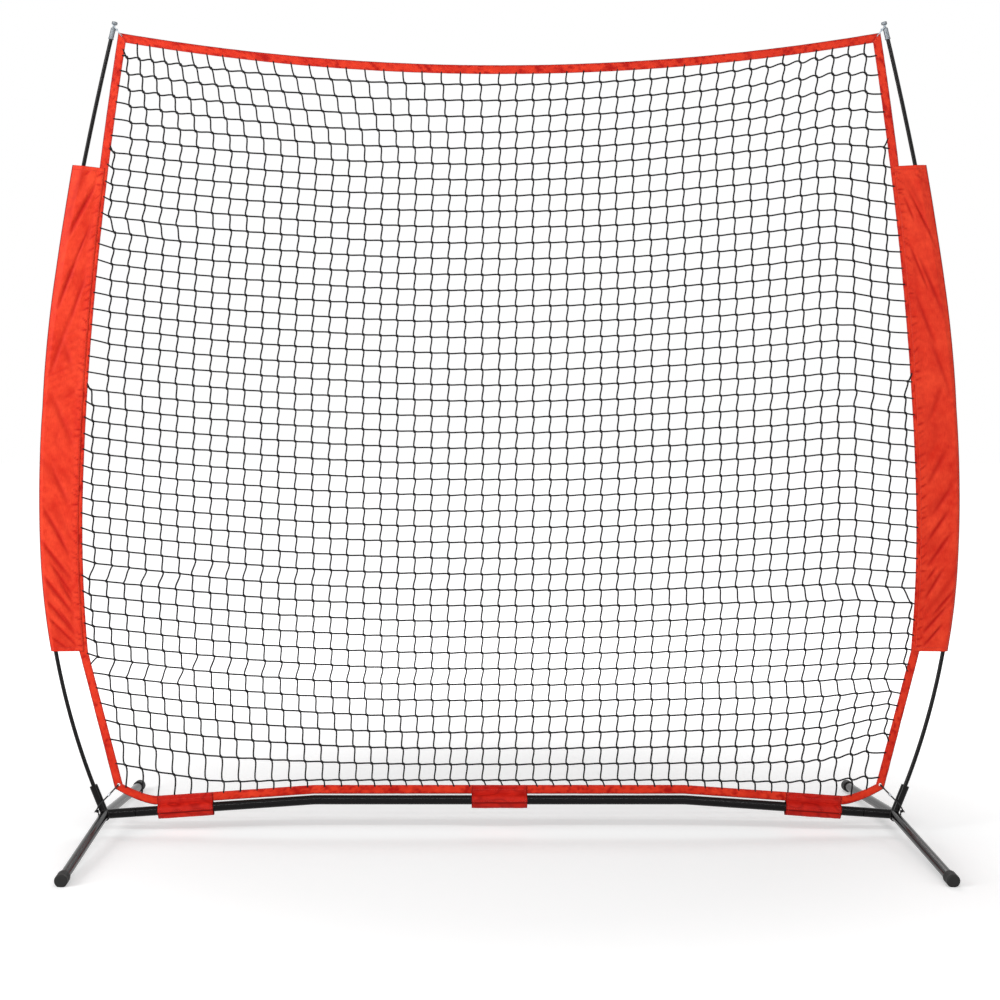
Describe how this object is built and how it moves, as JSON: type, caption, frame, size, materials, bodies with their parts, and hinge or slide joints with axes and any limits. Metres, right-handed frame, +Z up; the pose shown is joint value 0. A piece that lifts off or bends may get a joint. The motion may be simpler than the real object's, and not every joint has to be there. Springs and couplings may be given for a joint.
{
  "type": "bow-frame practice net",
  "caption": "Free-standing practice net: a fabric-bound net stretched between two bowed poles that stand in tilted sockets on a steel base with rubber feet.",
  "frame": {"origin": "on the floor under the middle of the net, centred between the four feet", "axes": "+X along the crossbar to the right-hand hub, +Y from the front feet to the rear feet, +Z up"},
  "size_m": [2.49, 1.0818, 2.1958],
  "materials": {
    "steel_black": "black powder coat, semi-gloss",
    "rubber_black": "matte moulded rubber",
    "spring_steel": "zinc-plated steel",
    "glass_fibre": "glossy black pultruded glass fibre",
    "nylon_black": "moulded nylon",
    "cap_aluminium": "turned aluminium, satin",
    "loop_cord": "pale braided cord",
    "bungee_cord": "black braided elastic cord",
    "red_fabric": "red woven polyester",
    "net_twine": "black knotless twine"
  },
  "bodies": {
    "stand": {"leg_tube_left": "steel_black", "leg_tube_right": "steel_black", "foot_front_left": "rubber_black", "foot_front_right": "rubber_black", "foot_rear_left": "rubber_black", "foot_rear_right": "rubber_black", "bar_stub_left": "steel_black", "bar_stub_right": "steel_black", "half_bar_left": "steel_black", "half_bar_right": "steel_black", "snap_spring_left": "spring_steel", "snap_spring_right": "spring_steel", "snap_spring_middle": "spring_steel", "pole_socket_left": "steel_black", "pole_socket_right": "steel_black", "socket_bush_left": "nylon_black", "socket_bush_right": "nylon_black", "pole_lower_left": "glass_fibre", "pole_lower_right": "glass_fibre", "pole_middle_left": "glass_fibre", "pole_middle_right": "glass_fibre", "pole_upper_left": "glass_fibre", "pole_upper_right": "glass_fibre", "ferrule_lower_left": "spring_steel", "ferrule_lower_right": "spring_steel", "ferrule_upper_left": "spring_steel", "ferrule_upper_right": "spring_steel", "top_cap_left": "cap_aluminium", "top_cap_right": "cap_aluminium", "top_loop_left": "loop_cord", "top_loop_right": "loop_cord", "border_top": "red_fabric", "border_bottom": "red_fabric", "border_left": "red_fabric", "border_right": "red_fabric", "net": "net_twine", "sleeve_left": "red_fabric", "sleeve_right": "red_fabric", "flap_back_left": "red_fabric", "flap_back_right": "red_fabric", "flap_back_middle": "red_fabric", "bungee_left": "bungee_cord", "bungee_right": "bungee_cord", "bungee_crimp_left": "spring_steel", "bungee_crimp_right": "spring_steel", "bungee_hook_left": "steel_black", "bungee_hook_right": "steel_black"},
    "snap_button_left": {"snap_button_left": "spring_steel"},
    "snap_button_right": {"snap_button_right": "spring_steel"},
    "snap_button_middle": {"snap_button_middle": "spring_steel"},
    "flap_front_left": {"flap_front_left": "red_fabric"},
    "flap_front_right": {"flap_front_right": "red_fabric"},
    "flap_front_middle": {"flap_front_middle": "red_fabric"}
  },
  "joints": [
    {"name": "snap_button_left_press", "type": "slide", "parent": "stand", "child": "snap_button_left", "axis": [0, -1, 0], "range_m": [0, 0.0035], "stiffness_N_per_m": 2000, "springref_m": -0.001},
    {"name": "snap_button_right_press", "type": "slide", "parent": "stand", "child": "snap_button_right", "axis": [0, -1, 0], "range_m": [0, 0.0035], "stiffness_N_per_m": 2000, "springref_m": -0.001},
    {"name": "snap_button_middle_press", "type": "slide", "parent": "stand", "child": "snap_button_middle", "axis": [0, 0, -1], "range_m": [0, 0.0035], "stiffness_N_per_m": 2000, "springref_m": -0.001},
    {"name": "flap_left_hinge", "type": "hinge", "parent": "stand", "child": "flap_front_left", "pos_m": [-0.84917, -0.0021, 0.08302], "axis": [-0.9976, 0, -0.0686], "range_deg": [0, 120]},
    {"name": "flap_right_hinge", "type": "hinge", "parent": "stand", "child": "flap_front_right", "pos_m": [0.84917, -0.0021, 0.08302], "axis": [-0.9976, 0, 0.0686], "range_deg": [0, 120]},
    {"name": "flap_middle_hinge", "type": "hinge", "parent": "stand", "child": "flap_front_middle", "pos_m": [0, -0.0021, 0.107], "axis": [-1, 0, 0], "range_deg": [0, 120]}
  ]
}
